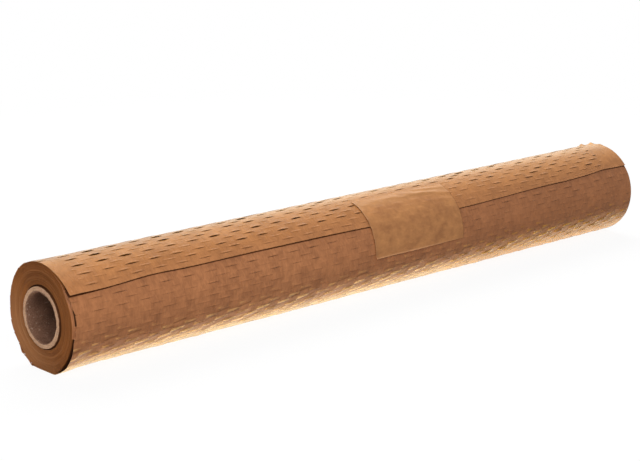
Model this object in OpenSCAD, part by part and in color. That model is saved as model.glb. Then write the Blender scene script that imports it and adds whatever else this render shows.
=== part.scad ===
// Roll of slit honeycomb packing paper, wound on a cardboard core and closed with a plain label.
// It lies on a surface: +X runs along the core, +Z is up and -Y is the front.
// The origin is under the middle of the roll, on the surface that it lies on.

/* [Roll] */
// Width of the paper web, which is the length of the roll
roll_len = 500; // [250:10:540]
// Diameter over the outer turn, between the slits
roll_d = 65; // [55:1:70]
// Width of the flat spot that the soft roll lies on
flat_w = 11; // [8:1:14]

/* [Loose edge] */
// Height of the step at the loose edge of the outer turn
edge_step = 0.5; // [0.2:0.1:0.8]
// Angle of the loose edge, from the top of the roll towards the front
edge_angle = 55; // [30:5:80]
// How far the loose edge wanders to each side of a straight line
edge_wave = 1.25; // [0:0.25:1.5]

/* [Slits] */
// Length of one slit, along the roll
slit_len = 11; // [10:0.5:12]
// Uncut paper between two slits of one row
slit_land = 5.5; // [5:0.5:8]
// Distance from one row of slits to the next, round the roll
row_gap = 3.65; // [3.5:0.05:5]
// Width of the opening at the middle of a slit
slit_gape = 0.6; // [0.3:0.1:1]
// How far the lifted lip of a slit stands out
lip_lift = 0.3; // [0.1:0.05:0.5]
// How far the other lip of the slit sinks in
lip_sink = 0.4; // [0.1:0.05:0.5]

/* [Turns] */
// Ridges on each end of the roll, each for a bundle of turns
bands = 6; // [2:1:7]
// Depth of the grooves between the ridges
band_depth = 0.6; // [0.2:0.1:1]
// Plain margin between the ridges and the outer turn
band_margin = 1.2; // [0.8:0.1:2]

/* [Core] */
// Diameter of the hole through the core
core_bore_d = 30.5; // [25:0.5:33]
// Wall of the core
core_wall = 3; // [2:0.25:4]
// How far the core stands out of the paper at each end
core_overhang = 1; // [0:0.5:5]

/* [Label] */
// Width of the label, along the roll
label_w = 83; // [40:1:120]
// Height of the label, round the roll
label_h = 44; // [30:1:60]
// Place of the label's middle along the roll
label_x = 25; // [-100:5:100]
// Thickness of the label
label_t = 0.2; // [0.1:0.05:0.4]
// Space between the label and the paper under it
label_gap = 0.1; // [0.1:0.05:0.3]

/* [Hidden] */

half_len = roll_len / 2;
roll_r = roll_d / 2;
core_r = core_bore_d / 2 + core_wall;

// Slit pattern: a row has spaces + 1 slits, and the first and last of them are cut open by the paper's edge
pitch = slit_len + slit_land;
spaces = floor(roll_len / pitch);
rows = 2 * round(PI * roll_d / row_gap / 2);
row_angle = 360 / rows;

// The rows lie evenly to both sides of the lowest line, and the loose edge lies on a row
rows_to_bottom = round((180 - edge_angle) / row_angle - 0.5) + 0.5;
edge_a = 180 - rows_to_bottom * row_angle;

function turn_r(row) = roll_r - edge_step * (1 - row / rows);
function arc_angle(length) = length / roll_r * 180 / PI;
rest_h = sqrt(pow(turn_r(rows_to_bottom), 2) - pow(flat_w / 2, 2));

// A point of the paper at x along the roll, a round it from the top to the front, and r from the axis
function spot(x, a, r) = [x, -r * sin(a), max(r * cos(a), -rest_h)];
function wave(x) = arc_angle(edge_wave) * sin(495 * x / roll_len + 40);

// The label holds down the slits under it and next to it
function under_label(x, row) =
    abs(x - label_x) < label_w / 2 + pitch
    && min(row, rows - row) * row_angle < arc_angle(label_h / 2) + 2 * row_angle;
function lift(x, row) = under_label(x, row) ? 0 : lip_lift;

// Odd rows gape: each slit has a tip, a lifted lip, a sunk lip and a tip
function open_row(row) = [
    for (i = [0:spaces])
        let (
            middle = (i - spaces / 2) * pitch,
            x = i == 0 ? -half_len : i == spaces ? half_len : middle,
            a = edge_a + row * row_angle,
            gape = arc_angle(slit_gape / 2)
        )
        each [
            if (i > 0) spot(middle - slit_len / 2, a, turn_r(row)),
            spot(x, a - gape, turn_r(row) + lift(x, row)),
            spot(x, a + gape, turn_r(row) - lip_sink),
            if (i < spaces) spot(middle + slit_len / 2, a, turn_r(row)),
        ]
];

// Even rows are closed: a land and the middle of a slit by turns. The first and last are the loose edge
function closed_row(row) = [
    for (k = [0:2 * spaces])
        let (
            x = k == 0 ? -half_len : k == 2 * spaces ? half_len : (k - spaces) * pitch / 2,
            at_edge = row == 0 || row == rows,
            bulge = k % 2 == 1 && !at_edge ? lift(x, row) / 2 : 0
        )
        spot(x, edge_a + row * row_angle + (at_edge ? wave(x) : 0), turn_r(row) + bulge)
];

// Rings of the end faces, from the bore out. Every second ring is the bottom of a groove
sectors = rows / 2;
rings = 2 * bands + 2;
blank_r = core_r - 1;
rim_r = turn_r(0) - band_margin;
function ring(end, k) = [
    for (s = [0:sectors - 1])
        spot(
            end * (half_len - (k % 2 == 1 && k < rings - 1 ? band_depth : 0)),
            edge_a + 2 * s * row_angle,
            blank_r + (rim_r - blank_r) * k / (rings - 1)
        )
];

// Index of each point, in the order in which paper_points lists them
open_size = 4 * spaces + 2;
closed_size = 2 * spaces + 1;
pair_size = open_size + closed_size;
ring_start = sectors * pair_size + closed_size;
function closed_at(row, k) = row / 2 * pair_size + k;
function open_at(row, slit, part) = (row - 1) / 2 * pair_size + closed_size + 4 * slit + part - 1;
function ring_at(end, k, s) = ring_start + (end * rings + k) * sectors + s % sectors;
TIP_IN = 0;
LIP_UP = 1;
LIP_DOWN = 2;
TIP_OUT = 3;

paper_points = [
    for (row = [0:rows]) each (row % 2 == 0 ? closed_row(row) : open_row(row)),
    for (end = [-1, 1]) for (k = [0:rings - 1]) each ring(end, k),
];

function flipped(faces) = [for (f = faces) [for (i = [len(f) - 1:-1:0]) f[i]]];

// The strip of paper between one lip side of an open row and the closed row next to it
function strip(row, lip, closed) = [
    for (i = [0:spaces - 1])
        let (
            a = open_at(row, i, lip),
            b = open_at(row, i, TIP_OUT),
            c = open_at(row, i + 1, TIP_IN),
            d = open_at(row, i + 1, lip),
            e = closed_at(closed, 2 * i)
        )
        each [[a, b, e], [b, e + 1, e], [b, c, e + 1], [c, e + 2, e + 1], [c, d, e + 2]]
];

function slit_walls(row) = [
    for (i = [0:spaces])
        let (up = open_at(row, i, LIP_UP), down = open_at(row, i, LIP_DOWN))
        each [
            if (i > 0) [open_at(row, i, TIP_IN), up, down],
            if (i < spaces) [up, open_at(row, i, TIP_OUT), down],
        ]
];

edge_wall = [
    for (k = [0:2 * spaces - 1])
        let (outer = closed_at(rows, k), inner = closed_at(0, k))
        each [[outer, outer + 1, inner], [outer + 1, inner + 1, inner]]
];

// One end face: the outer turn's outline down to the rim ring, then ring by ring to the bore
function end_face(end, slit, k) = [
    for (s = [0:sectors - 1])
        let (
            row = 2 * s,
            up = open_at(row + 1, slit, LIP_UP),
            down = open_at(row + 1, slit, LIP_DOWN),
            g = ring_at(end, rings - 1, s),
            h = ring_at(end, rings - 1, s + 1)
        )
        each [[g, closed_at(row, k), up], [g, up, down], [g, down, h], [h, down, closed_at(row + 2, k)]],
    [ring_at(end, rings - 1, 0), closed_at(rows, k), closed_at(0, k)],
    for (n = [0:rings - 2])
        for (s = [0:sectors - 1])
            let (
                a = ring_at(end, n, s),
                b = ring_at(end, n, s + 1),
                c = ring_at(end, n + 1, s + 1),
                d = ring_at(end, n + 1, s)
            )
            each [[a, d, b], [b, d, c]],
];

inner_wall = [
    for (s = [0:sectors - 1])
        let (a = ring_at(0, 0, s), b = ring_at(0, 0, s + 1), c = ring_at(1, 0, s + 1), d = ring_at(1, 0, s))
        each [[a, b, d], [b, c, d]]
];

paper_faces = [
    for (row = [1:2:rows - 1])
        each [
            each flipped(strip(row, LIP_UP, row - 1)),
            each slit_walls(row),
            each strip(row, LIP_DOWN, row + 1),
        ],
    each edge_wall,
    each end_face(0, 0, 0),
    each flipped(end_face(1, spaces, 2 * spaces)),
    each inner_wall,
];

module along_x(length, r) rotate([0, 90, 0]) cylinder(h = length, r = r, center = true, $fn = 96);

module core_tube() {
    color([0.78, 0.68, 0.52])
        difference() {
            along_x(roll_len + 2 * core_overhang, core_r);
            along_x(roll_len + 2 * core_overhang + 2, core_bore_d / 2);
        }
}

module honeycomb_paper() {
    color([0.72, 0.5, 0.31])
        difference() {
            polyhedron(points = paper_points, faces = paper_faces);
            along_x(roll_len + 2, core_r);
        }
}

// The label follows the paper over the loose edge and down onto the turn under it
label_span = arc_angle(label_h / 2);
label_step = row_angle / 2;
drop_a = edge_a + arc_angle(edge_wave);
function seat_r(a) = a > drop_a ? turn_r((a - edge_a) / row_angle) : roll_r;
label_angles = [
    for (a = [edge_a - label_span : label_step : drop_a - label_step / 2]) a,
    drop_a,
    for (a = [drop_a + label_step : label_step : edge_a + label_span - label_step / 2]) a,
    edge_a + label_span,
];
function label_line(height) = [for (a = label_angles) (seat_r(a) + label_gap + height) * [-sin(a), cos(a)]];

module closing_label() {
    under = label_line(0);
    over = label_line(label_t);
    color([0.74, 0.53, 0.34])
        translate([label_x, 0, 0])
            rotate([90, 0, 90])
                linear_extrude(label_w, center = true)
                    polygon([each under, for (i = [len(over) - 1:-1:0]) over[i]]);
}

translate([0, 0, rest_h]) {
    core_tube();
    honeycomb_paper();
    closing_label();
}
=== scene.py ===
import math

import bpy
from mathutils import Euler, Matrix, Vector, noise


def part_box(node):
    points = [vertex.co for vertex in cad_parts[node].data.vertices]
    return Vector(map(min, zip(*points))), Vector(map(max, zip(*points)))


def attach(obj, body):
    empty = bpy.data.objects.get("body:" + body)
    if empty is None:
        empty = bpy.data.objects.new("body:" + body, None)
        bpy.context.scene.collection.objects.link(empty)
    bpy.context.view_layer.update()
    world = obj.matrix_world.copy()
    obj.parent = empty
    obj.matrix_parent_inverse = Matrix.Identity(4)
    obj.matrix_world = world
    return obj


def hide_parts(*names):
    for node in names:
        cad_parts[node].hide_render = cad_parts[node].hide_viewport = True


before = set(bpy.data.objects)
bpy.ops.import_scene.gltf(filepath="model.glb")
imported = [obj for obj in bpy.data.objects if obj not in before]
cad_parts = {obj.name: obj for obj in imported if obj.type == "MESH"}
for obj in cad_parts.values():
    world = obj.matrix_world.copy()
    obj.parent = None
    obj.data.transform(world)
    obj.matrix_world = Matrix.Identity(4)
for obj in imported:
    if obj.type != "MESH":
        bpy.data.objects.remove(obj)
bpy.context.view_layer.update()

MM = 0.001

# Sizes that the solids set
core_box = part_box("core_tube")
paper_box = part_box("honeycomb_paper")
label_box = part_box("closing_label")
AXIS_Z = (core_box[0].z + core_box[1].z) / 2
CORE_HALF = core_box[1].x
CORE_R = core_box[1].y
HALF = paper_box[1].x
CORE_WALL = 3 * MM
BORE_R = CORE_R - CORE_WALL

# The wound paper, as in the solids
ROLL_R = 32.5 * MM
EDGE_STEP = 0.5 * MM
ROWS = 56
ROW_TURN = 2 * math.pi / ROWS
ROWS_TO_BOTTOM = 19.5
EDGE_TURN = math.pi - ROWS_TO_BOTTOM * ROW_TURN
EDGE_WAVE = 1.25 * MM
# Angle of that wave over the whole length, and at the middle, in degrees
WAVE_SPAN = 495
WAVE_MIDDLE = 40

# Slits of the web
SLIT_LEN = 11 * MM
SLIT_PITCH = 16.5 * MM
SLIT_SHIFT = -1.65 * MM
STEPS_PER_PITCH = 10
ROW_GAP = ROLL_R * ROW_TURN
SLIT_GAPE = 0.42 * MM
LIP_LIFT = 0.4 * MM
LIP_SINK = 0.2 * MM
FEATHER_LIFT = 0.32 * MM
PAPER = 0.12 * MM

# Rows of the web: the slack flap above the loose edge starts at one row and is full at the next;
# the underside, where the strips are pressed out into feathers, has a middle and a reach
FLAP_ROWS = (46.0, 48.5)
UNDERSIDE_ROW = 10.3
UNDERSIDE_REACH = 4.5
# Below the loose edge the rows lie lower by this share of a row, and on the flap they run lower
# towards the far end
LOWER_ROWS_SHIFT = 0.3
FLAP_DRIFT = 0.5
DRIFT_FROM = 80 * MM
DRIFT_TO = 180 * MM
# Lengths of the flap's two ends that have no slits
NEAR_LAND = 11 * MM
FAR_LAND = 21 * MM
# The web starts under the flap, and near the end the outer turn stands back from the cut
TUCKED_ROWS = 0.8
TUCKED_DEPTH = 0.3 * MM
INSET = 0.9 * MM
GAP_INSET = 0.8 * MM
# Rows over which it stands back, and more so in its gap: how that starts and how it ends
INSET_ROWS = ((0.2, 0.7), (6.4, 7.2))
GAP_ROWS = ((2.2, 2.9), (4.8, 5.4))

# Label
LABEL_W = label_box[1].x - label_box[0].x
LABEL_X = (label_box[0].x + label_box[1].x) / 2
LABEL_H = 44 * MM
LABEL_GAP = 0.1 * MM
# Rows that the label holds down above the loose edge and below it
LABEL_ABOVE = 6.3
LABEL_BELOW = 6.2


def turn_radius(row):
    """Radius of the outer turn at a row of slits, counted from the loose edge downwards."""
    return ROLL_R - EDGE_STEP * (1 - row / ROWS)


def on_roll(x, turn, radius, floor_gap=0.0):
    """A point at x along the roll and turned from the top towards the front, over the flat spot."""
    z = max(radius * math.cos(turn), floor_gap - AXIS_Z)
    return Vector((x, -radius * math.sin(turn), AXIS_Z + z))


def smooth_step(value, low, high):
    t = min(1.0, max(0.0, (value - low) / (high - low)))
    return t * t * (3 - 2 * t)


def smooth_window(value, rise, fall):
    """1 between two smooth slopes, each given by its two ends."""
    return smooth_step(value, *rise) * (1 - smooth_step(value, *fall))


def ripple(*place):
    """Smooth noise between about -1 and 1."""
    return 2 * noise.noise(Vector(place))


# Node trees

class Formula:
    """A number inside a node tree. Sums, products and comparisons of formulas become math nodes."""

    def __init__(self, tree, socket):
        self.tree = tree
        self.socket = socket

    def math(self, operation, *others):
        node = self.tree.nodes.new("ShaderNodeMath")
        node.operation = operation
        for place, value in enumerate((self, *others)):
            feed(self.tree, value, node.inputs[place])
        return Formula(self.tree, node.outputs[0])

    def __add__(self, other):
        return self.math("ADD", other)

    def __sub__(self, other):
        return self.math("SUBTRACT", other)

    def __mul__(self, other):
        return self.math("MULTIPLY", other)

    def __truediv__(self, other):
        return self.math("DIVIDE", other)

    def __gt__(self, other):
        return self.math("GREATER_THAN", other)

    def __lt__(self, other):
        return self.math("LESS_THAN", other)

    __radd__ = __add__
    __rmul__ = __mul__

    def __neg__(self):
        return self * -1.0

    def __rsub__(self, other):
        return self * -1.0 + other

    def bell(self, middle, reach):
        """1 at the middle, falling to nearly nothing at the reach."""
        off = (self - middle) / reach
        return (off * off * -3.0).math("EXPONENT")

    def step(self, low, high):
        """A smooth rise from 0 at low to 1 at high."""
        node = self.tree.nodes.new("ShaderNodeMapRange")
        node.interpolation_type = "SMOOTHSTEP"
        feed(self.tree, self, node.inputs["Value"])
        feed(self.tree, low, node.inputs["From Min"])
        feed(self.tree, high, node.inputs["From Max"])
        return Formula(self.tree, node.outputs["Result"])

    def window(self, rise, fall):
        """1 between two smooth slopes, each given by its two ends."""
        return self.step(*rise) * (1.0 - self.step(*fall))

    def clamped(self):
        """The same number, kept between 0 and 1."""
        return self.math("MINIMUM", 1.0).math("MAXIMUM", 0.0)


def feed(tree, value, socket):
    """Joins a formula or a socket to an input, or writes a plain value into it."""
    if isinstance(value, Formula):
        tree.links.new(value.socket, socket)
    elif isinstance(value, bpy.types.NodeSocket):
        tree.links.new(value, socket)
    else:
        socket.default_value = value


def add_node(tree, kind, settings=None, **inputs):
    """A node with its settings and inputs; an underscore in an input's name stands for a space."""
    node = tree.nodes.new(kind)
    for name, value in (settings or {}).items():
        setattr(node, name, value)
    for name, value in inputs.items():
        feed(tree, value, node.inputs[name.replace("_", " ")])
    return node


def split_place(tree, socket):
    """The x, y and z of a vector socket, as formulas."""
    node = add_node(tree, "ShaderNodeSeparateXYZ", Vector=socket)
    return [Formula(tree, out) for out in node.outputs]


def join_place(tree, x, y, z):
    return add_node(tree, "ShaderNodeCombineXYZ", X=x, Y=y, Z=z).outputs["Vector"]


def new_geometry_tree(name, numbers):
    """An empty geometry tree with named inputs, a material input, and their sockets."""
    tree = bpy.data.node_groups.new(name, "GeometryNodeTree")
    for label, value in numbers.items():
        kind = "NodeSocketInt" if isinstance(value, int) else "NodeSocketFloat"
        tree.interface.new_socket(label, in_out="INPUT", socket_type=kind)
    tree.interface.new_socket("Paper", in_out="INPUT", socket_type="NodeSocketMaterial")
    tree.interface.new_socket("Geometry", in_out="OUTPUT", socket_type="NodeSocketGeometry")
    entry = tree.nodes.new("NodeGroupInput")
    given = {out.name: Formula(tree, out) for out in entry.outputs if out.name}
    return tree, given


def finish_tree(tree, given, geometry):
    """Ends a geometry tree in real meshes with their material."""
    real = add_node(tree, "GeometryNodeRealizeInstances", Geometry=geometry)
    finished = add_node(
        tree, "GeometryNodeSetMaterial", Geometry=real.outputs["Geometry"], Material=given["Paper"]
    )
    leave = tree.nodes.new("NodeGroupOutput")
    tree.links.new(finished.outputs["Geometry"], leave.inputs["Geometry"])


def add_object(name, data):
    """An object in the scene for a mesh, a lamp or a camera."""
    thing = bpy.data.objects.new(name, data)
    bpy.context.scene.collection.objects.link(thing)
    return thing


def add_wall(piece, thickness):
    """A modifier that gives a sheet a thickness, inwards."""
    wall = piece.modifiers.new("thickness", "SOLIDIFY")
    wall.thickness = thickness
    wall.offset = -1


def worked_mesh(piece):
    """The plain mesh that a piece's modifiers make."""
    graph = bpy.context.evaluated_depsgraph_get()
    return bpy.data.meshes.new_from_object(piece.evaluated_get(graph))


def grow(name, tree, numbers, material, thickness):
    """Runs a geometry tree with its inputs set, thickens the sheet and returns the plain mesh object."""
    blank = add_object(name + "_blank", bpy.data.meshes.new(name + "_blank"))
    modifier = blank.modifiers.new("grow", "NODES")
    modifier.node_group = tree
    values = dict(numbers, Paper=material)
    for item in tree.interface.items_tree:
        if item.in_out == "INPUT":
            modifier[item.identifier] = values[item.name]
    add_wall(blank, thickness)
    mesh = worked_mesh(blank)
    bpy.data.objects.remove(blank)
    mesh.name = name
    return add_object(name, mesh)


def build(name, points, faces, material):
    """A plain mesh object from points and faces."""
    mesh = bpy.data.meshes.new(name)
    mesh.from_pydata(points, [], faces)
    mesh.validate()
    mesh.materials.append(material)
    return add_object(name, mesh)


def ring_faces(rings, segments):
    """Faces between closed rings of points, of which the last ring joins the first again."""
    faces = []
    for a in range(rings):
        b = (a + 1) % rings
        for s in range(segments):
            t = (s + 1) % segments
            faces.append((a * segments + s, b * segments + s, b * segments + t, a * segments + t))
    return faces


def thicken(piece, thickness):
    """Gives a sheet a thickness, inwards, in plain faces."""
    add_wall(piece, thickness)
    mesh = worked_mesh(piece)
    piece.modifiers.clear()
    piece.data = mesh


def shade(piece, sharp_degrees):
    """Smooth shading with sharp folds."""
    piece.data.shade_smooth()
    piece.data.set_sharp_from_angle(angle=math.radians(sharp_degrees))


def dress(piece, node):
    """Puts a piece in a solid's place, on the roll's only body."""
    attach(piece, "root")
    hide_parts(node)


def slit_lens(row, x, sizes):
    """For a whole row and a place x: whether the row is even, the slit's number, and its lens.

    The lens is 1 at the middle of a slit and 0 on a land.
    """
    even = (row + 1.0).math("FLOORED_MODULO", 2.0)
    place = (x - sizes["Slit shift"]) / sizes["Slit pitch"] + even * 0.5
    number = (place + 0.5).math("FLOOR")
    off = (place - number) * 2.0 * sizes["Slit pitch"] / sizes["Slit length"]
    inner = (row > 0.5) * (-row > 0.5 - sizes["Rows"])
    return even, number, (1.0 - off * off).math("MAXIMUM", 0.0) * inner


# Materials

# Where the web's looks change, as places along the roll and as rows
FAR_HALF = (20 * MM, 130 * MM)
PRESSED_FROM = (9.1, 12.6)
BACK_FROM = (16.5, 22.0)
STROKES_FROM = (6.6, 8.6)
STROKES_TO = (14.0, 20.0)
TOP_FROM = (37.5, 46.0)
# The label is creased and, with painted light, paler from its top down to here, as angles from the roll's
# top
CREASED_TO = (math.radians(24), math.radians(36))
# Fine rings and broad bands of the end faces, for each metre of radius
RINGS_PER_METRE = 2600.0
BANDS_PER_METRE = 420.0
GRAIN_ROUGHNESS = 0.55
SHEEN_ROUGHNESS = 0.3
SHEEN_TINT = (1.0, 0.86, 0.6, 1.0)


def new_material(name):
    material = bpy.data.materials.new(name)
    material.use_nodes = True
    tree = material.node_tree
    shader = tree.nodes["Principled BSDF"]
    place = add_node(tree, "ShaderNodeTexCoord").outputs["Object"]
    return material, tree, shader, place


def srgb(red, green, blue):
    """A colour written in the 0 to 255 steps of a screen, for a shader."""
    shares = [step / 255 for step in (red, green, blue)]
    linear = [s / 12.92 if s <= 10 / 255 else ((s + 0.055) / 1.055) ** 2.4 for s in shares]
    return (*linear, 1.0)


def cloud_noise(tree, place, scale=1.0, detail=2.0, rough=0.5):
    """Noise from 0 to 1 with its middle at 0.5."""
    node = add_node(
        tree, "ShaderNodeTexNoise", Vector=place, Scale=scale, Detail=detail, Roughness=rough
    )
    return Formula(tree, node.outputs[0])


def grain(tree, place, scale, stretch=(1, 1, 1), detail=3.0):
    """Noise that is stretched along the axes."""
    moved = add_node(tree, "ShaderNodeMapping", Vector=place, Scale=stretch)
    return cloud_noise(tree, moved.outputs["Vector"], scale, detail, GRAIN_ROUGHNESS)


def blend_colours(tree, share, first, second):
    node = tree.nodes.new("ShaderNodeMix")
    node.data_type = "RGBA"
    feed(tree, share, node.inputs[0])
    feed(tree, first, node.inputs[6])
    feed(tree, second, node.inputs[7])
    return node.outputs[2]


def relief(tree, height, depth, strength=1.0, under=None):
    """A bump of the given depth in metres."""
    node = add_node(tree, "ShaderNodeBump", Strength=strength, Distance=depth, Height=height)
    if under is not None:
        feed(tree, under, node.inputs["Normal"])
    return node.outputs["Normal"]


def set_paper_gloss(shader, specular, sheen):
    """A dull surface with a warm sheen at flat angles."""
    shader.inputs["Specular IOR Level"].default_value = specular
    shader.inputs["Sheen Weight"].default_value = sheen
    shader.inputs["Sheen Roughness"].default_value = SHEEN_ROUGHNESS
    shader.inputs["Sheen Tint"].default_value = SHEEN_TINT


def kraft_web():
    """Brown kraft of the web: fibres round the roll, cloudy formation, small dark flecks and painted light
    and shade.
    """
    material, tree, shader, place = new_material("kraft_web")
    web = add_node(tree, "ShaderNodeUVMap", {"uv_map": "web"}).outputs["UV"]
    along, round_turn, _ = split_place(tree, web)
    x = (along - 0.5) * (2 * HALF)
    row = round_turn * ROWS
    # Each slit is a thin dark line, partly its cut and partly painted shade, under a lip made paler with a
    # painted highlight
    nearest = (row + 0.5).math("FLOOR")
    even, number, lens = slit_lens(nearest, x, WEB_NUMBERS)
    below = row - nearest
    chance = add_node(tree, "ShaderNodeTexWhiteNoise", Vector=join_place(tree, number, nearest, 0.0))
    luck = Formula(tree, chance.outputs[0])
    # On the underside each strip between two slits is a facet that climbs towards the far end; its
    # colour is painted lighter above each slit and darker below it, as light and shade
    climb = ((x - SLIT_SHIFT) / SLIT_PITCH + even * 0.5 - number) * 0.8
    facet = (below + climb) * lens.step(0.0, 0.6)
    clouds = grain(tree, place, 60, (1, 0.7, 0.7), 3)
    plain_ends = ((x < NEAR_LAND - HALF) + (x > HALF - FAR_LAND)) * (row > FLAP_ROWS[0])
    clear = (1.0 - plain_ends) * clouds.step(0.3, 0.6) * (row.step(6.5, 9.0) * 0.4 + 0.6)
    shut = even * row.step(*FLAP_ROWS)
    cut = lens.step(0.0, 0.2) * below.bell(0.0, 0.09) * clear * (1.0 - shut * 0.7)
    lip = lens * below.bell(-0.17, 0.18) * clear
    fibres = grain(tree, place, 1100, (1, 0.3, 0.3), 4)
    flecks = grain(tree, place, 1500, (1, 0.5, 0.5), 2)
    # Long thin folds and wedges where the strips are pressed out, which climb towards the far end. In
    # the colour they are painted light and shade; the folds are also a bump
    sheet = join_place(tree, x, row * ROW_GAP + x * 0.4, 0.0)
    folds = grain(tree, sheet, 650, (0.15, 0.5, 1), 2)
    wedges = grain(tree, sheet, 200, (0.4, 1, 1), 2)
    # The part of the turn near its loose edge is slack and looks yellower than the rest. The golden
    # and paler colours of the underside's feathers are painted light from below
    to_far = x.step(*FAR_HALF)
    before_back = 1.0 - row.step(*BACK_FROM)
    lower = row + to_far * 0.4 + (wedges - 0.5) * 5.0 - facet * 6.0 + (luck - 0.5) * 1.6
    pressed = lower.step(*PRESSED_FROM) * before_back
    pale = row.step(10.6, 14.0) * (1.0 - to_far * 0.9)
    # Painted light on the ridge: yellower at the top, and paler with a painted highlight over part of it
    top = row.step(*TOP_FROM)
    ridge_highlight = row.window((42.5, 46.0), (47.2, 49.8)) * x.step(-200 * MM, -40 * MM)
    slack = row.step(46.0, 56.0)
    lit_golden = blend_colours(tree, to_far, srgb(216, 160, 98), srgb(198, 138, 50))
    lit_golden_deep = blend_colours(tree, to_far, srgb(154, 102, 54), srgb(130, 82, 26))
    lit_underside = blend_colours(tree, pale, lit_golden, srgb(214, 182, 130))
    lit_underside_deep = blend_colours(tree, pale, lit_golden_deep, srgb(166, 124, 80))
    # Painted light on the front towards the near end, and painted shade low on the far half
    lit_front_patch = x.bell(-110 * MM, 100 * MM) * (1.0 - row.step(8.0, 12.0))
    brown = blend_colours(tree, lit_front_patch, srgb(190, 126, 82), srgb(200, 134, 88))
    low_and_far = to_far * (1.0 - row.step(*STROKES_TO)) * 0.7
    shaded = blend_colours(tree, low_and_far, brown, srgb(182, 119, 77))
    first = blend_colours(tree, pressed, shaded, lit_underside)
    second = blend_colours(tree, pressed, srgb(149, 96, 62), lit_underside_deep)
    lit_ridge = blend_colours(tree, ridge_highlight, srgb(198, 136, 68), srgb(220, 166, 108))
    lit_ridge_deep = blend_colours(tree, ridge_highlight, srgb(160, 106, 50), srgb(186, 136, 84))
    upper = blend_colours(tree, top, first, lit_ridge)
    upper_deep = blend_colours(tree, top, second, lit_ridge_deep)
    plain = blend_colours(tree, slack, upper, srgb(193, 130, 81))
    deep = blend_colours(tree, slack, upper_deep, srgb(158, 104, 64))
    spots = grain(tree, place, 270, (1, 0.65, 0.65), 2)
    calm = 1.0 - pressed * 0.85
    tone = (fibres - 0.5) * calm * 0.9 + (clouds - 0.5) * 0.9 + (spots - 0.5) * calm * 1.1 + 0.5
    # Painted light and shade on the underside: streaks, lit and shaded facets, and a darker band round its
    # middle row
    tone = tone + (folds - 0.5) * (pressed * 0.8 + 0.4) - (wedges - 0.5) * pressed * 2.0
    tone = tone + facet * pressed * 1.4 + pressed * 0.1 + row.bell(UNDERSIDE_ROW, 2.6) * 0.5
    tone = tone + cut * (pressed * 0.6 + 0.7) - lip * (pressed * 0.7 + 0.3)
    colour = blend_colours(tree, tone.clamped(), plain, deep)
    flecked = blend_colours(tree, (flecks > 0.72) * 0.25, colour, srgb(116, 74, 46))
    # On the underside many lips stand out as thin strokes of painted highlight over strokes of painted
    # shade
    stroked = row.window(STROKES_FROM, STROKES_TO) * luck.step(0.1, 0.7)
    middle = (HALF - x.math("ABSOLUTE")).step(10 * MM, 80 * MM) * 0.7 + 0.3
    stroked = stroked * lens.step(0.0, 0.5)
    pale_lip = (below + climb).bell(-0.2, 0.34) * stroked * middle * (lower.step(9.5, 12.5) * 0.8 + 0.06)
    dark_cut = (below + climb).bell(0.2, 0.3) * stroked * 0.9
    lip_highlight_colour = blend_colours(tree, to_far, srgb(242, 192, 128), srgb(230, 174, 82))
    flecked = blend_colours(tree, pale_lip, flecked, lip_highlight_colour)
    flecked = blend_colours(tree, dark_cut, flecked, srgb(124, 76, 38))
    # Towards the far end the underside is more golden, with painted light from below
    far_under = to_far * row.step(8.0, 11.0) * before_back * 0.32
    flecked = blend_colours(tree, far_under, flecked, srgb(170, 106, 20))
    # The gap under the loose edge is dark with painted shadow
    seam = add_node(tree, "ShaderNodeUVMap", {"uv_map": "seam"}).outputs["UV"]
    seam_shadow = split_place(tree, seam)[0].step(2.8, 2.95) * 0.85
    feed(tree, blend_colours(tree, seam_shadow, flecked, srgb(66, 34, 18)), shader.inputs["Base Color"])
    rough = (clouds - 0.5) * 0.12 + 0.27
    feed(tree, rough, shader.inputs["Roughness"])
    set_paper_gloss(shader, 0.27, 0.5)
    fine = relief(tree, fibres, 0.05 * MM)
    mottled = relief(tree, spots * calm, 0.12 * MM, 0.7, fine)
    folded = relief(tree, folds * (pressed * 0.5 + 0.2) + lip * 0.25, 0.8 * MM, 1.0, mottled)
    feed(tree, relief(tree, clouds, 0.5 * MM, 0.6, folded), shader.inputs["Normal"])
    return material


def from_axis(tree, place):
    """The x and y of a place, its height over the roll's axis, and its distance from the axis."""
    x, y, z = split_place(tree, place)
    up = z - AXIS_Z
    return x, y, up, (y * y + up * up).math("SQRT")


def kraft_ends():
    """The cut edges of the turns: fine rings, some darker, with saw fuzz."""
    material, tree, shader, place = new_material("kraft_ends")
    x, y, up, radius = from_axis(tree, place)
    ring_place = join_place(tree, radius * RINGS_PER_METRE, y * 9.0, up * 9.0)
    rings = cloud_noise(tree, ring_place, detail=4.0, rough=0.7)
    bands = cloud_noise(tree, join_place(tree, radius * BANDS_PER_METRE, y * 14.0, up * 14.0))
    fuzz = grain(tree, place, 2200, detail=2)
    tone = ((rings - 0.5) * 1.2 + (bands - 0.5) * 1.1 + 0.5).clamped()
    colour = blend_colours(tree, tone, srgb(118, 70, 34), srgb(158, 98, 52))
    # Paler low at the back, and darker with painted shade in the depths
    paler_low_back = (y - up).step(0, ROLL_R * 1.3) * 0.75
    colour = blend_colours(tree, paler_low_back, colour, srgb(182, 126, 82))
    deep = (HALF - x.math("ABSOLUTE")).step(0.75 * MM, 1.6 * MM)
    feed(tree, blend_colours(tree, deep * 0.85, colour, srgb(50, 28, 16)), shader.inputs["Base Color"])
    shader.inputs["Roughness"].default_value = 0.75
    shader.inputs["Specular IOR Level"].default_value = 0.2
    fine = relief(tree, rings, 0.15 * MM)
    feed(tree, relief(tree, fuzz, 0.05 * MM, 0.5, fine), shader.inputs["Normal"])
    return material


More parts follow.
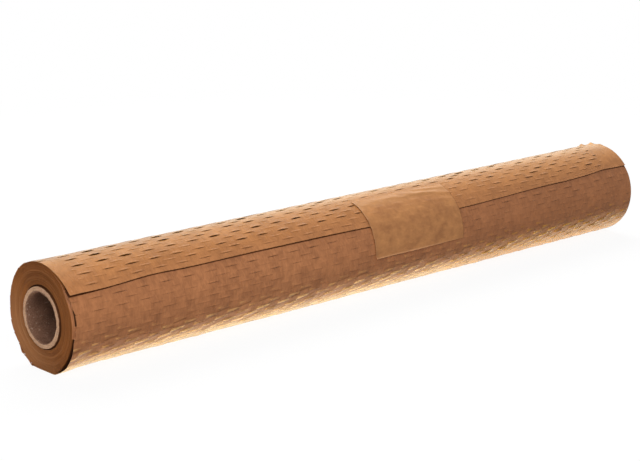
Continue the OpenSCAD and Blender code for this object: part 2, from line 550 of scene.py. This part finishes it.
def core_board():
    """Grey-beige board with pale and dark fibres, browner inside the bore."""
    material, tree, shader, place = new_material("core_board")
    radius = from_axis(tree, place)[3]
    fibres = grain(tree, place, 1300, detail=4)
    flecks = grain(tree, place, 700, detail=2)
    clouds = grain(tree, place, 120, detail=2)
    tone = ((fibres - 0.5) * 1.6 + (clouds - 0.5) + 0.5).clamped()
    rim = blend_colours(tree, tone, srgb(228, 186, 154), srgb(176, 134, 102))
    bore = blend_colours(tree, tone, srgb(158, 118, 96), srgb(104, 74, 58))
    inside = 1.0 - radius.step(BORE_R + 0.1 * MM, BORE_R + 0.7 * MM)
    colour = blend_colours(tree, inside, rim, bore)
    speckled = blend_colours(tree, (flecks > 0.66) * 0.45, colour, srgb(196, 172, 150))
    # The core's outside and the outer rim of its ends are dark: painted shade of the crack round the core
    crack_shade = radius.step(CORE_R - 0.25 * MM, CORE_R - 0.05 * MM)
    feed(tree, blend_colours(tree, crack_shade, speckled, srgb(84, 48, 26)), shader.inputs["Base Color"])
    shader.inputs["Roughness"].default_value = 0.85
    shader.inputs["Specular IOR Level"].default_value = 0.2
    feed(tree, relief(tree, fibres, 0.2 * MM), shader.inputs["Normal"])
    return material


def label_paper():
    """Smooth kraft of the label, made paler along its creased top with painted light."""
    material, tree, shader, place = new_material("label_paper")
    fibres = grain(tree, place, 420, (0.8, 0.9, 0.9), 4)
    clouds = grain(tree, place, 70)
    spots = grain(tree, place, 200, (0.8, 1, 1), 2)
    tone = ((fibres - 0.5) * 0.8 + (clouds - 0.5) + (spots - 0.5) * 1.4 + 0.45).clamped()
    colour = blend_colours(tree, tone, srgb(196, 137, 86), srgb(160, 107, 68))
    x, y, z = split_place(tree, place)
    angle = (-y).math("ARCTAN2", z - AXIS_Z)
    # Painted light makes the creased top paler
    creased = 1.0 - angle.step(*CREASED_TO)
    colour = blend_colours(tree, creased * 0.4, colour, srgb(204, 152, 100))
    # The cut edges at the left and at the bottom are paler with a painted highlight; the right one is glued
    # down and darker with painted shade
    right = LABEL_X + LABEL_W / 2
    bottom = EDGE_TURN + LABEL_H / 2 / ROLL_R
    low_rim = angle.step(bottom - 0.026, bottom - 0.014) * (1.0 - x.step(LABEL_X, right))
    left_rim = 1.0 - (x + (LABEL_W / 2 - LABEL_X)).step(0.4 * MM, 0.8 * MM)
    rim_highlights = (low_rim + left_rim * 0.4).math("MINIMUM", 1.0) * 0.4
    rimmed = blend_colours(tree, rim_highlights, colour, srgb(220, 166, 122))
    right_rim_shade = (x - right).step(-0.5 * MM, -0.2 * MM) * 0.7
    feed(tree, blend_colours(tree, right_rim_shade, rimmed, srgb(120, 76, 48)), shader.inputs["Base Color"])
    feed(tree, (clouds - 0.5) * 0.12 + right_rim_shade * 0.8 + 0.34, shader.inputs["Roughness"])
    set_paper_gloss(shader, 0.22, 0.3)
    fine = relief(tree, fibres, 0.04 * MM)
    mottled = relief(tree, spots, 0.1 * MM, 0.7, fine)
    feed(tree, relief(tree, clouds, 0.4 * MM, 0.5, mottled), shader.inputs["Normal"])
    return material


# The outer turn

# Places where the outer turn stands off: x, row, reach along and round (rows), and lift
LOOSE_SPOTS = [
    (-HALF, 56.3, 30 * MM, 5.0, 2.0 * MM),
    (-HALF, 9.8, 12 * MM, 3.2, 1.1 * MM),
    (-HALF, 13.0, 14 * MM, 3.0, 0.5 * MM),
    (HALF, 56.0, 20 * MM, 3.0, 0.2 * MM),
    (-70 * MM, 56.0, 60 * MM, 5.0, 0.5 * MM),
    (240.9 * MM, 45.0, 3.2 * MM, 0.9, 1.6 * MM),
    (247.5 * MM, 46.0, 3.2 * MM, 0.8, 1.6 * MM),
    (HALF, 47.6, 3.5 * MM, 0.7, 0.7 * MM),
    (-HALF, 25.6, 5.0 * MM, 1.1, 1.8 * MM),
    (-HALF, 22.6, 5.0 * MM, 0.9, 1.1 * MM),
]
# Places where all turns bulge at the near end: degrees from the top, reach in degrees, and lift
BULGE_LENGTH = 22 * MM
NEAR_BULGES = [
    (136, 22, 0.9 * MM),
    (160, 24, 1.2 * MM),
    (206, 26, 1.0 * MM),
    (248, 28, 1.1 * MM),
    (290, 32, 0.4 * MM),
    (320, 32, 0.7 * MM),
]

# Places where the loose edge runs lower or higher than its wave: x, reach and drop
SEAM_BUMPS = [
    (-192 * MM, 34 * MM, -0.9 * MM),
    (224 * MM, 20 * MM, -0.9 * MM),
    (-235 * MM, 70 * MM, 0.6 * MM),
    (-150 * MM, 85 * MM, 0.76 * MM),
    (-85 * MM, 60 * MM, 0.47 * MM),
    (75 * MM, 80 * MM, 0.49 * MM),
    (183 * MM, 30 * MM, 0.49 * MM),
    (250 * MM, 45 * MM, -0.7 * MM),
]

# How single slits differ: rows of the front where they gape less, the shut row under the ridge with
# its reach, and the rows right of the label where they fade in along the roll
FRONT_ROWS = (20.0, 34.0)
RIDGE_ROW = 45.2
RIDGE_REACH = 1.6
BESIDE_ROWS = (51.5, 53.5)
BESIDE_LENGTH = (90 * MM, 170 * MM)
# Each slit draws its luck with a number of its own
NUMBERS_PER_SLIT = 64.0
FIRST_NUMBER = 4096.0

WEB_NUMBERS = {
    "Half length": HALF,
    "Columns": 2 * math.ceil(HALF / (SLIT_PITCH / STEPS_PER_PITCH)) + 1,
    "Column gap": SLIT_PITCH / STEPS_PER_PITCH,
    "Rows": ROWS,
    "Slit pitch": SLIT_PITCH,
    "Slit shift": SLIT_SHIFT,
    "Slit length": SLIT_LEN,
    "Slit gape": SLIT_GAPE / ROW_GAP,
    "Lip lift": LIP_LIFT,
    "Lip sink": LIP_SINK,
    "Feather lift": FEATHER_LIFT,
    "Outer radius": ROLL_R,
    "Edge step": EDGE_STEP,
    "Edge turn": EDGE_TURN,
    "Edge wave": EDGE_WAVE / ROW_GAP,
    "Axis height": AXIS_Z,
    "Seed": 7,
}


class Slit:
    """What the slits of one row do at a place x: how far they gape, curl and fold."""

    def __init__(self, tree, given, row, x):
        even, number, self.lens = slit_lens(row, x, given)
        chance = add_node(tree, "FunctionNodeRandomValue", {"data_type": "FLOAT"})
        feed(tree, number * NUMBERS_PER_SLIT + row + FIRST_NUMBER, chance.inputs["ID"])
        feed(tree, given["Seed"], chance.inputs["Seed"])
        luck = Formula(tree, chance.outputs[1])
        # Every second row is open. The others are shut, but for a slit here and there and the far end
        far = x.step(DRIFT_FROM, DRIFT_TO)
        open_row = luck * 0.9 + 0.35 - far * 0.35
        shut_row = luck.math("POWER", 7.0) * 0.8 + 0.1 + far * 0.25
        share = open_row + even * (shut_row - open_row)
        flap = row.step(*FLAP_ROWS)
        last = row > (given["Rows"] - 1.5)
        front = 1.0 - row.step(*FRONT_ROWS)
        share = share * (flap * 0.1 - front * 0.4 + 0.9) * (1.0 - last * (far * 0.35 + 0.65))
        near_end = x < NEAR_LAND - given["Half length"]
        far_end = x > given["Half length"] - FAR_LAND
        share = share * (1.0 - (near_end + far_end) * flap) * (1.0 - row.bell(RIDGE_ROW, RIDGE_REACH) * 0.7)
        beside = (x > LABEL_X + LABEL_W / 2) * (1.0 - x.step(*BESIDE_LENGTH))
        share = share * (1.0 - beside * row.step(*BESIDE_ROWS) * 0.8)
        underside = row.bell(UNDERSIDE_ROW, UNDERSIDE_REACH)
        feather = (underside * 0.6 + front * 0.35 + (1.0 - flap) * 0.05) * (luck * 1.2 + 0.3)
        feather = feather * (given["Half length"] - x.math("ABSOLUTE")).step(0.5 * MM, 7 * MM)
        held = (x - LABEL_X).math("ABSOLUTE").step(LABEL_W / 2, LABEL_W / 2 + 20 * MM)
        share = share * (held * 0.35 + 0.65)
        opened = self.lens.math("POWER", 1.6) * share
        self.gape = opened * given["Slit gape"] * 0.5
        self.curl = opened
        self.feather = feather * given["Feather lift"]

    def fold(self, nearness):
        """Height of the fold that a lip makes, nearness being 1 at the slit and 0 at the next row."""
        return self.feather * nearness * nearness * (self.lens * 1.8).math("MINIMUM", 1.0)


def web_tree():
    """Cuts the web into staggered slits, tilts its strips and winds it once round the roll."""
    tree, given = new_geometry_tree("slit_web", WEB_NUMBERS)
    width = (given["Columns"] - 1.0) * given["Column gap"]
    sheet = add_node(
        tree, "GeometryNodeMeshGrid",
        Size_X=width, Size_Y=given["Rows"], Vertices_X=given["Columns"],
        Vertices_Y=given["Rows"] * 2.0 + 1.0,
    )
    place = add_node(tree, "GeometryNodeInputPosition").outputs["Position"]
    x, y, _ = split_place(tree, place)

    # Middle of each face, read later at the corners: it tells which strip a slit's lip belongs to
    middles = tree.nodes.new("GeometryNodeCaptureAttribute")
    middles.domain = "FACE"
    middles.capture_items.new("FLOAT", "strip")
    feed(tree, sheet.outputs["Mesh"], middles.inputs["Geometry"])
    feed(tree, y + given["Rows"] * 0.5, middles.inputs["strip"])
    strip_middle = Formula(tree, middles.outputs["strip"])

    # Slits: edges along the web whose middle is in an opening
    ends = add_node(tree, "GeometryNodeInputMeshEdgeVertices")
    start = split_place(tree, ends.outputs["Position 1"])
    stop = split_place(tree, ends.outputs["Position 2"])
    level = (start[1] - stop[1]).math("ABSOLUTE") < 0.01
    edge_row = ((start[1] + given["Rows"] * 0.5) + 0.01).math("FLOOR")
    on_row = (start[1] + given["Rows"] * 0.5 - edge_row).math("ABSOLUTE") < 0.1
    open_here = Slit(tree, given, edge_row, (start[0] + stop[0]) * 0.5).lens > 0.0
    cut = add_node(
        tree, "GeometryNodeSplitEdges",
        Mesh=middles.outputs["Geometry"], Selection=level * on_row * open_here,
    )

    # Each strip lies between the lower lip of one slit and the upper lip of the next
    row = y + given["Rows"] * 0.5
    strip = (strip_middle + 0.001).math("FLOOR")
    share = row - strip
    above = Slit(tree, given, strip, x)
    below = Slit(tree, given, strip + 1.0, x)
    rest = 1.0 - share
    inset = row.window(*INSET_ROWS) * INSET + row.window(*GAP_ROWS) * GAP_INSET
    clamped_x = x.math("MINIMUM", given["Half length"]).math("MAXIMUM", inset - given["Half length"])
    near_label = ((x - LABEL_X).math("ABSOLUTE") < (LABEL_W / 2 + 1 * MM)) * (
        (row > ROWS - LABEL_ABOVE) + (row < LABEL_BELOW)
    )
    pressed = 1.0 - near_label * 0.8
    curls = below.curl * given["Lip lift"] * share * share - above.curl * given["Lip sink"] * rest * rest
    height = (curls + below.fold(share) + above.fold(rest) * 0.3) * pressed
    gape = (above.gape * rest - below.gape * share) * pressed

    # Slow swells of the whole turn, and the spots that stand off
    swell = cloud_noise(tree, join_place(tree, x * 14.0, row * 0.21, 0.0), detail=1.0) - 0.5
    edge_lift = (0.5 * MM - x.step(20 * MM, 120 * MM) * (0.3 * MM)) * (1.0 - near_label)
    lift = swell * (0.35 * MM) + row.step(ROWS - 0.9, ROWS) * edge_lift
    for spot_x, spot_row, reach_x, reach_rows, spot_lift in LOOSE_SPOTS:
        lift = lift + x.bell(spot_x, reach_x) * row.bell(spot_row, reach_rows) * spot_lift
    near = x.bell(-HALF, BULGE_LENGTH)
    for bulge_turn, reach, bulge in NEAR_BULGES:
        bulge_row = (bulge_turn - math.degrees(EDGE_TURN)) * ROWS / 360
        lift = lift + near * row.bell(bulge_row, reach * ROWS / 360) * bulge
    edge = row.step(ROWS - 3.0, ROWS)
    wave = (x * (math.radians(WAVE_SPAN) / (2 * HALF)) + math.radians(WAVE_MIDDLE)).math("SINE")
    for bump_x, reach_x, drop in SEAM_BUMPS:
        wave = wave + x.bell(bump_x, reach_x) * (drop / EDGE_WAVE)
    below_edge = row.window((0.0, 1.0), (30.0, 44.0))
    drift = row.window(FLAP_ROWS, (ROWS - 1.0, ROWS)) * x.step(DRIFT_FROM, DRIFT_TO)
    tucked = 1.0 - row.step(0.0, 1.0)
    lift = lift - tucked * TUCKED_DEPTH
    shifted_row = row + below_edge * LOWER_ROWS_SHIFT + drift * FLAP_DRIFT - tucked * TUCKED_ROWS
    final_row = shifted_row + gape + wave * given["Edge wave"] * edge

    turn = final_row * ROW_TURN + given["Edge turn"]
    plain_radius = given["Outer radius"] - given["Edge step"] * (1.0 - row / given["Rows"])
    radius = plain_radius + height + lift
    low = radius * turn.math("COSINE")
    on_floor = low.math("MAXIMUM", given["Axis height"] * -1.0)
    wound = join_place(
        tree, clamped_x, radius * turn.math("SINE") * -1.0, on_floor + given["Axis height"]
    )
    # Two maps for the paper: its place on the web, and for the first rows how near the loose edge is, for
    # the painted shadow under that edge
    near_edge = (row < 3.1) * (3.0 - final_row + wave * given["Edge wave"])
    maps = {
        "web": join_place(tree, clamped_x / (2 * HALF) + 0.5, row / given["Rows"], 0.0),
        "seam": join_place(tree, near_edge, 0.0, 0.0),
    }
    mapped = cut.outputs["Mesh"]
    for name, value in maps.items():
        mapped = add_node(
            tree, "GeometryNodeStoreNamedAttribute", {"data_type": "FLOAT2", "domain": "CORNER"},
            Geometry=mapped, Name=name, Value=value,
        ).outputs["Geometry"]
    rolled = add_node(tree, "GeometryNodeSetPosition", Geometry=mapped, Position=wound)
    outward = add_node(tree, "GeometryNodeFlipFaces", Mesh=rolled.outputs["Geometry"])
    finish_tree(tree, given, outward.outputs["Mesh"])
    return tree


def make_outer_turn(material):
    piece = grow("slit_outer_turn", web_tree(), WEB_NUMBERS, material, PAPER)
    shade(piece, 28)
    dress(piece, "honeycomb_paper")


# The turns under it

TURN_LINES = 38
WOUND_SEGMENTS = 168
FIRST_TURN_GAP = 0.12 * MM
END_MARGIN = 16 * MM
UNDER_AT_END = 0.18 * MM
UNDER_AT_MIDDLE = 0.85 * MM
RIM_X = -HALF + 1.2 * MM
UNDER_STEP_ROWS = 1.2
UNDER_STEP_TURN = EDGE_TURN - UNDER_STEP_ROWS * ROW_TURN

# Lines of the near end from which its outer turns stand back: on the front, in the gap there, and
# at the crack under the flap
STEP_LINE = 62
GAP_LINE = 70
CRACK_LINE = 72
# Where they do so, in degrees from the top: how it starts and how it ends
FRONT_STEP = ((54, 62), (104, 112))
FRONT_GAP = ((70, 73), (86, 89))
LOW_POCKET = ((102, 108), (150, 160))
FLAP_CRACK = ((18, 26), (52, 56))
GAP_DEPTH = 5 * MM
CRACK_DEPTH = 4 * MM
# Relief of the end faces: the grooves between the rings, how much each ring and the whole face
# wander, the crack beside the core with its lines, and the least distance from the web's edge
RING_GROOVE = 0.16 * MM
RING_WANDER = 0.08 * MM
FACE_WANDER = 0.12 * MM
CORE_CRACK_LINES = 4
CORE_CRACK_DEPTH = 1.5 * MM
LEAST_STEP_BACK = 0.1 * MM


def under_radius(x, turn):
    """Radius of the turns under the outer one, with a step that the loose edge covers."""
    row = ((turn - UNDER_STEP_TURN) / ROW_TURN) % ROWS - UNDER_STEP_ROWS
    depth = UNDER_AT_END + (UNDER_AT_MIDDLE - UNDER_AT_END) * smooth_step(HALF - abs(x), 1 * MM, END_MARGIN)
    radius = turn_radius(row) - depth
    for bulge_turn, reach, lift in NEAR_BULGES:
        off = ((math.degrees(turn) - bulge_turn + 180) % 360 - 180) / reach
        radius += lift * math.exp(-3 * off * off - 3 * ((x + HALF) / BULGE_LENGTH) ** 2)
    down = -math.cos(turn)
    if down > 0:
        radius = min(radius, (AXIS_Z - depth) / down)
    return radius


def band_line(degrees):
    """First line of the near end's step, where the outside of the next turn begins to show."""
    return STEP_LINE + 6 * (1 - smooth_step(degrees, 36, 62))


def passed(line, first, slope=0.6):
    """From 0 to 1 where the lines of the end face pass a first one."""
    return smooth_step(line, first - slope, first + slope)


def near_step(line, turn):
    """How far the outer lines of the near end stand back, on the front and under the flap."""
    degrees = math.degrees(turn) % 360
    back = INSET * smooth_window(degrees, *FRONT_STEP) * passed(line, band_line(degrees))
    back += GAP_DEPTH * smooth_window(degrees, *FRONT_GAP) * passed(line, GAP_LINE)
    taper = 11 * smooth_step(degrees, 130, 158)
    back += GAP_DEPTH * smooth_window(degrees, *LOW_POCKET) * passed(line, STEP_LINE + taper, 1)
    crack = CRACK_LINE - 2 * smooth_step(degrees, 46, 49)
    return back + CRACK_DEPTH * smooth_window(degrees, *FLAP_CRACK) * passed(line, crack)


def next_turn_shows(line, turn):
    """Whether a face of the near end's step is the outside of the next turn."""
    degrees = math.degrees(turn) % 360
    in_gap = 71 < degrees < 88 and line > GAP_LINE - 2
    in_crack = degrees < 55 and line > CRACK_LINE - 3
    on_step = 28 < degrees < 103 and line >= band_line(degrees) - 1.5
    return on_step and not in_gap and not in_crack


def end_relief(end, line, turn):
    """How far a ring of the end face stands back from the web's edge."""
    groove = RING_GROOVE if line % 2 else 0.0
    lean = RING_WANDER * (ripple(line * 1.7, end * 5.0, 0.5) + 1)
    slow = FACE_WANDER * (ripple(line * 0.07 + end * 9, math.cos(turn) * 1.2, math.sin(turn) * 1.2) + 1)
    crack = CORE_CRACK_DEPTH if line < CORE_CRACK_LINES else 0.0
    hollow = near_step(line, turn) if end < 0 else 0.0
    return groove + lean + slow + crack + hollow + LEAST_STEP_BACK


def make_wound_turns(ends_material, web_material):
    """One closed ring: near end face, outside, far end face and the hole that the core fills."""
    lines = 2 * TURN_LINES
    inner = CORE_R + FIRST_TURN_GAP
    stations = [(-1, line) for line in range(lines + 1)]
    stations += [(x, None) for x in (RIM_X, -HALF + END_MARGIN, 0.0, HALF - END_MARGIN)]
    stations += [(1, line) for line in range(lines, -1, -1)]

    def place(station, turn):
        first, line = station
        if line is None:
            back = near_step(lines, turn) if first == RIM_X else 0.0
            return on_roll(first + back, turn, under_radius(first, turn), UNDER_AT_END)
        x = first * HALF
        outer = under_radius(x, turn)
        radius = inner + (outer - inner) * line / lines
        return on_roll(x - first * end_relief(first, line, turn), turn, radius)

    points = []
    for station in stations:
        for segment in range(WOUND_SEGMENTS):
            # The step under the loose edge falls between the last segment and the first
            turn = UNDER_STEP_TURN + 2 * math.pi * (segment + 0.02) / WOUND_SEGMENTS
            points.append(place(station, turn))
    faces = ring_faces(len(stations), WOUND_SEGMENTS)
    piece = build("wound_turns", points, faces, ends_material)
    piece.data.materials.append(web_material)
    for line in range(lines + 1):
        for segment in range(WOUND_SEGMENTS):
            turn = UNDER_STEP_TURN + 2 * math.pi * (segment + 0.5) / WOUND_SEGMENTS
            if next_turn_shows(line, turn):
                piece.data.polygons[line * WOUND_SEGMENTS + segment].material_index = 1
    shade(piece, 60)
    dress(piece, "honeycomb_paper")


# The core

PLY_LINES = 12
CORE_SEGMENTS = 120
CORE_STATIONS = 216
CORE_TWIST = 9.0
SEAM_DEPTH = 0.3 * MM
SEAM_SEGMENTS = (0, 1)
# The cut ends: depth of their fuzz, burrs, gaps between plies and rims, and how far the plies
# round the bore are bent and torn
END_ZONE = 0.1 * MM
OUTER_MARGIN = 0.6 * MM
FUZZ_DEPTH = 0.16 * MM
BURR_DEPTH = 0.14 * MM
PLY_GAPS = (4, 8)
PLY_GAP_DEPTH = 0.15 * MM
RIM_DEPTH = 0.25 * MM
BENT_PLIES = 3
BENT_RIM = 0.6 * MM
TORN_RIM = 0.4 * MM


def make_core(material):
    """Spiral-wound tube: a seam runs along its bore, and its cut ends are rough."""
    stations = []
    for step in range(CORE_STATIONS + 1):
        x = -CORE_HALF + 2 * CORE_HALF * step / CORE_STATIONS
        stations.append(("bore", x, 0))
    for ply in range(1, PLY_LINES):
        stations.append(("end", CORE_HALF, ply))
    for x in (CORE_HALF, CORE_HALF - OUTER_MARGIN, -CORE_HALF + OUTER_MARGIN, -CORE_HALF):
        stations.append(("outside", x, PLY_LINES))
    for ply in range(PLY_LINES - 1, 0, -1):
        stations.append(("end", -CORE_HALF, ply))

    def place(kind, x, ply, segment):
        if kind == "outside":
            twist = CORE_TWIST * 2 * math.pi if x > 0 else 0
        else:
            twist = CORE_TWIST * (x + CORE_HALF) / (2 * CORE_HALF) * 2 * math.pi
        turn = 2 * math.pi * segment / CORE_SEGMENTS + twist
        radius = BORE_R + CORE_WALL * ply / PLY_LINES
        if kind == "bore" and segment in SEAM_SEGMENTS:
            radius += SEAM_DEPTH
        if abs(abs(x) - CORE_HALF) < END_ZONE:
            rough = ripple(radius * 1500, math.cos(turn) * 14, math.sin(turn) * 14 + x)
            burr = ripple(x + 3, math.cos(turn) * 5, math.sin(turn) * 5)
            step_back = FUZZ_DEPTH * (rough + 1) + BURR_DEPTH * (burr + 1)
            if ply in PLY_GAPS:
                step_back += PLY_GAP_DEPTH
            if ply in (0, PLY_LINES):
                step_back += RIM_DEPTH
            x -= math.copysign(step_back, x)
            if ply < BENT_PLIES and x < 0:
                radius -= BENT_RIM * math.cos(turn) ** 4 * (1 - ply / BENT_PLIES)
            if ply == 0:
                radius += TORN_RIM * (ripple(math.cos(turn) * 9, math.sin(turn) * 9, x + 7) + 0.4)
        return on_roll(x, turn, radius)

    points = [place(*station, s) for station in stations for s in range(CORE_SEGMENTS)]
    # The rings start in the bore, so each face runs the other way round
    faces = [(a, d, c, b) for a, b, c, d in ring_faces(len(stations), CORE_SEGMENTS)]
    piece = build("cardboard_core", points, faces, material)
    shade(piece, 40)
    dress(piece, "core_tube")


# The label

LABEL_COLUMNS = 120
LABEL_ROWS = 72
# Creases of the label: start and end as shares of its width and height, width and height of the fold
LABEL_CREASES = [
    ((0.50, 0.06), (1.00, 0.24), 1.6 * MM, 0.55 * MM),
    ((0.30, 0.10), (0.86, 0.16), 1.3 * MM, 0.35 * MM),
    ((0.62, 0.02), (0.98, 0.10), 1.1 * MM, 0.40 * MM),
    ((0.05, 0.12), (0.45, 0.08), 1.5 * MM, 0.25 * MM),
    ((0.70, 0.30), (1.00, 0.36), 1.4 * MM, 0.20 * MM),
]
# Slow waves of the label, and how high its edges curl up: left and bottom together, then each alone
LABEL_WAVE = 0.07 * MM
BOTH_CURL = 0.18 * MM
LEFT_CURL = 0.2 * MM
BOTTOM_CURL = 0.8 * MM
CURL_REACH = 1.2 * MM
# Its right edge is pressed down
RIGHT_DIP = 0.12 * MM
DIP_REACH = 2.5 * MM
HUMP_HEIGHT = 0.2 * MM


def seat_radius(turn):
    """Radius of what the label lies on, over the loose edge and below it."""
    below = (turn - EDGE_TURN) / ROW_TURN
    over = smooth_step(below, 0.3, 3.5)
    return ROLL_R * (1 - over) + turn_radius(max(below, 0)) * over


def crease_height(across, down):
    """Height of the folds at a place of the label, given in metres from its top left corner."""
    total = 0.0
    for start, stop, width, height in LABEL_CREASES:
        a = Vector((start[0] * LABEL_W, start[1] * LABEL_H))
        b = Vector((stop[0] * LABEL_W, stop[1] * LABEL_H))
        along = b - a
        p = Vector((across, down)) - a
        share = min(1.0, max(0.0, p.dot(along) / along.length_squared))
        off = (p - along * share).length
        total += height * math.exp(-(off / width) ** 2) * math.sin(math.pi * (0.15 + 0.7 * share))
    return total


def print_through(x, turn):
    """Faint humps where slits lie under the label."""
    row = (turn - EDGE_TURN) / ROW_TURN
    nearest = round(row)
    shift = 0.5 if nearest % 2 == 0 else 0.0
    place = x / SLIT_PITCH + shift
    off = (place - round(place)) * SLIT_PITCH / (SLIT_LEN / 2)
    lens = max(0.0, 1 - off * off)
    return HUMP_HEIGHT * lens * (0.5 - (row - nearest))


def label_radius(across, down, x, turn):
    """Radius of the label's face at a place, given twice: from its top left corner and on the roll."""
    rise = crease_height(across, down) + print_through(x, turn)
    rise += LABEL_WAVE * (ripple(x * 60, turn * 2.5, 3) + 0.6)
    edge = min(across, LABEL_H - down)
    curl = BOTH_CURL * math.exp(-edge / CURL_REACH) * (ripple(x * 40, turn * 3, 9) + 0.8)
    left = smooth_step(down, 2 * MM, 7 * MM) * (0.4 * ripple(turn * 9, 2, 5) + 1)
    curl += LEFT_CURL * math.exp(-across / CURL_REACH) * left
    bottom = (0.4 * ripple(x * 30, 4, 5) + 1) * (1 - 0.8 * smooth_step(across, 60 * MM, LABEL_W))
    curl += BOTTOM_CURL * math.exp((down - LABEL_H) / CURL_REACH) * bottom
    curl -= RIGHT_DIP * math.exp((across - LABEL_W) / DIP_REACH)
    return seat_radius(turn) + LABEL_GAP + PAPER + rise + curl


def make_label(material):
    points = []
    for row in range(LABEL_ROWS + 1):
        down = LABEL_H * row / LABEL_ROWS
        turn = EDGE_TURN + (down - LABEL_H / 2) / ROLL_R
        for column in range(LABEL_COLUMNS + 1):
            across = LABEL_W * column / LABEL_COLUMNS
            x = LABEL_X - LABEL_W / 2 + across
            points.append(on_roll(x, turn, label_radius(across, down, x, turn)))
    wide = LABEL_COLUMNS + 1
    faces = [
        (r * wide + c, (r + 1) * wide + c, (r + 1) * wide + c + 1, r * wide + c + 1)
        for r in range(LABEL_ROWS)
        for c in range(LABEL_COLUMNS)
    ]
    piece = build("creased_label", points, faces, material)
    thicken(piece, PAPER)
    shade(piece, 50)
    dress(piece, "closing_label")


# Stage, lights and camera

CAMERA_AZIMUTH = 42.68
CAMERA_ELEVATION = 14.15
CAMERA_PLACE = Vector((-765.4 * MM, -791.5 * MM, 285.65 * MM + AXIS_Z))
PHOTO_WIDTH = 640
FOCAL_PIXELS = 1716.75
SENSOR = 36.0

# Direction away from the camera, over the table
AWAY_X = 0.68
AWAY_Y = 0.73
TABLE_REACH = 6.0
TABLE_DROP = 0.2 * MM

# Lamps: name, place, aim, width and height, watts and colour
LAMPS = [
    ("back_roof", (0.3, 0.62, 0.85), (0.03, 0, 0), (1.2, 0.7), 16, (1, 1, 1)),
    ("front", (-0.55, -0.92, 0.75), (-0.1, 0, 0.03), (0.8, 0.6), 10.1, (1, 1, 1)),
    ("side_fill", (-1.3, -0.3, 0.4), (0, 0, 0.03), (0.8, 0.8), 2.0, (1, 1, 1)),
    ("under_table", (-0.03, 0.17, -0.65), (-0.05, 0, 0.03), (0.95, 0.12), 15.5, (1.0, 1.0, 0.88)),
]


def make_camera():
    data = bpy.data.cameras.new("camera")
    data.sensor_width = SENSOR
    data.lens = FOCAL_PIXELS / PHOTO_WIDTH * SENSOR
    data.clip_start = 0.01
    camera = add_object("camera", data)
    camera.location = CAMERA_PLACE
    camera.rotation_euler = Euler((math.radians(90 - CAMERA_ELEVATION), 0, math.radians(-CAMERA_AZIMUTH)))
    bpy.context.scene.camera = camera


def area_light(name, place, aim, size, watts, colour):
    data = bpy.data.lights.new(name, "AREA")
    data.shape = "RECTANGLE"
    data.size = size[0]
    data.size_y = size[1]
    data.energy = watts
    data.color = colour
    lamp = add_object(name, data)
    lamp.location = place
    lamp.rotation_euler = (Vector(aim) - Vector(place)).to_track_quat("-Z", "Y").to_euler()
    # The white room around the roll is what its sheen reflects
    lamp.visible_glossy = False


def make_world():
    """A white room. It is open in front, so gloss shows less white there."""
    world = bpy.data.worlds.new("white_room")
    bpy.context.scene.world = world
    world.use_nodes = True
    tree = world.node_tree
    back = tree.nodes["Background"]
    back.inputs["Color"].default_value = (1, 1, 1, 1)
    path = tree.nodes.new("ShaderNodeLightPath")
    camera_ray = Formula(tree, path.outputs["Is Camera Ray"])
    glossy_ray = Formula(tree, path.outputs["Is Glossy Ray"])
    to_x, to_y, _ = split_place(tree, add_node(tree, "ShaderNodeTexCoord").outputs["Generated"])
    behind = (to_x * AWAY_X + to_y * AWAY_Y).step(0.45, 0.95) * 0.8 + 0.2
    seen = camera_ray + glossy_ray * behind
    feed(tree, seen.math("MINIMUM", 1.0) * 0.8 + 0.2, back.inputs["Strength"])


def make_floor():
    """A white table top that keeps a soft shadow and lets the light under it through."""
    material = bpy.data.materials.new("white_table")
    material.use_nodes = True
    tree = material.node_tree
    tree.nodes.clear()
    path = tree.nodes.new("ShaderNodeLightPath")
    where = add_node(tree, "ShaderNodeTexCoord").outputs["Object"]
    glossy = Formula(tree, path.outputs["Is Glossy Ray"])
    # The table throws back less light than it shows, and its front shows less in the gloss
    white = 0.9 - Formula(tree, path.outputs["Is Diffuse Ray"]) * 0.55
    matt = add_node(tree, "ShaderNodeBsdfDiffuse", Color=join_place(tree, white, white, white))
    front = 1.0 - split_place(tree, where)[1].step(-0.04, -0.018)
    glow = add_node(tree, "ShaderNodeEmission", Color=(1, 1, 1, 1), Strength=1.0 - glossy * front * 0.8)
    length = add_node(tree, "ShaderNodeVectorMath", {"operation": "LENGTH"}, Vector=where)
    far = Formula(tree, length.outputs["Value"]).step(0.35, 0.8) * 0.07
    share = Formula(tree, path.outputs["Is Camera Ray"]) * (far + 0.93) + glossy
    mixed = tree.nodes.new("ShaderNodeMixShader")
    feed(tree, share.math("MINIMUM", 1.0), mixed.inputs[0])
    feed(tree, matt.outputs[0], mixed.inputs[1])
    feed(tree, glow.outputs[0], mixed.inputs[2])
    out = tree.nodes.new("ShaderNodeOutputMaterial")
    feed(tree, mixed.outputs[0], out.inputs["Surface"])
    corners = [(-TABLE_REACH, -TABLE_REACH), (TABLE_REACH, -TABLE_REACH),
               (TABLE_REACH, TABLE_REACH), (-TABLE_REACH, TABLE_REACH)]
    floor = build("table", [Vector((x, y, -TABLE_DROP)) for x, y in corners], [(0, 1, 2, 3)], material)
    floor.visible_shadow = False


make_camera()
for lamp_numbers in LAMPS:
    area_light(*lamp_numbers)
make_world()
make_floor()
bpy.context.scene.view_settings.view_transform = "Standard"

web_paper = kraft_web()
make_outer_turn(web_paper)
make_wound_turns(kraft_ends(), web_paper)
make_core(core_board())
make_label(label_paper())
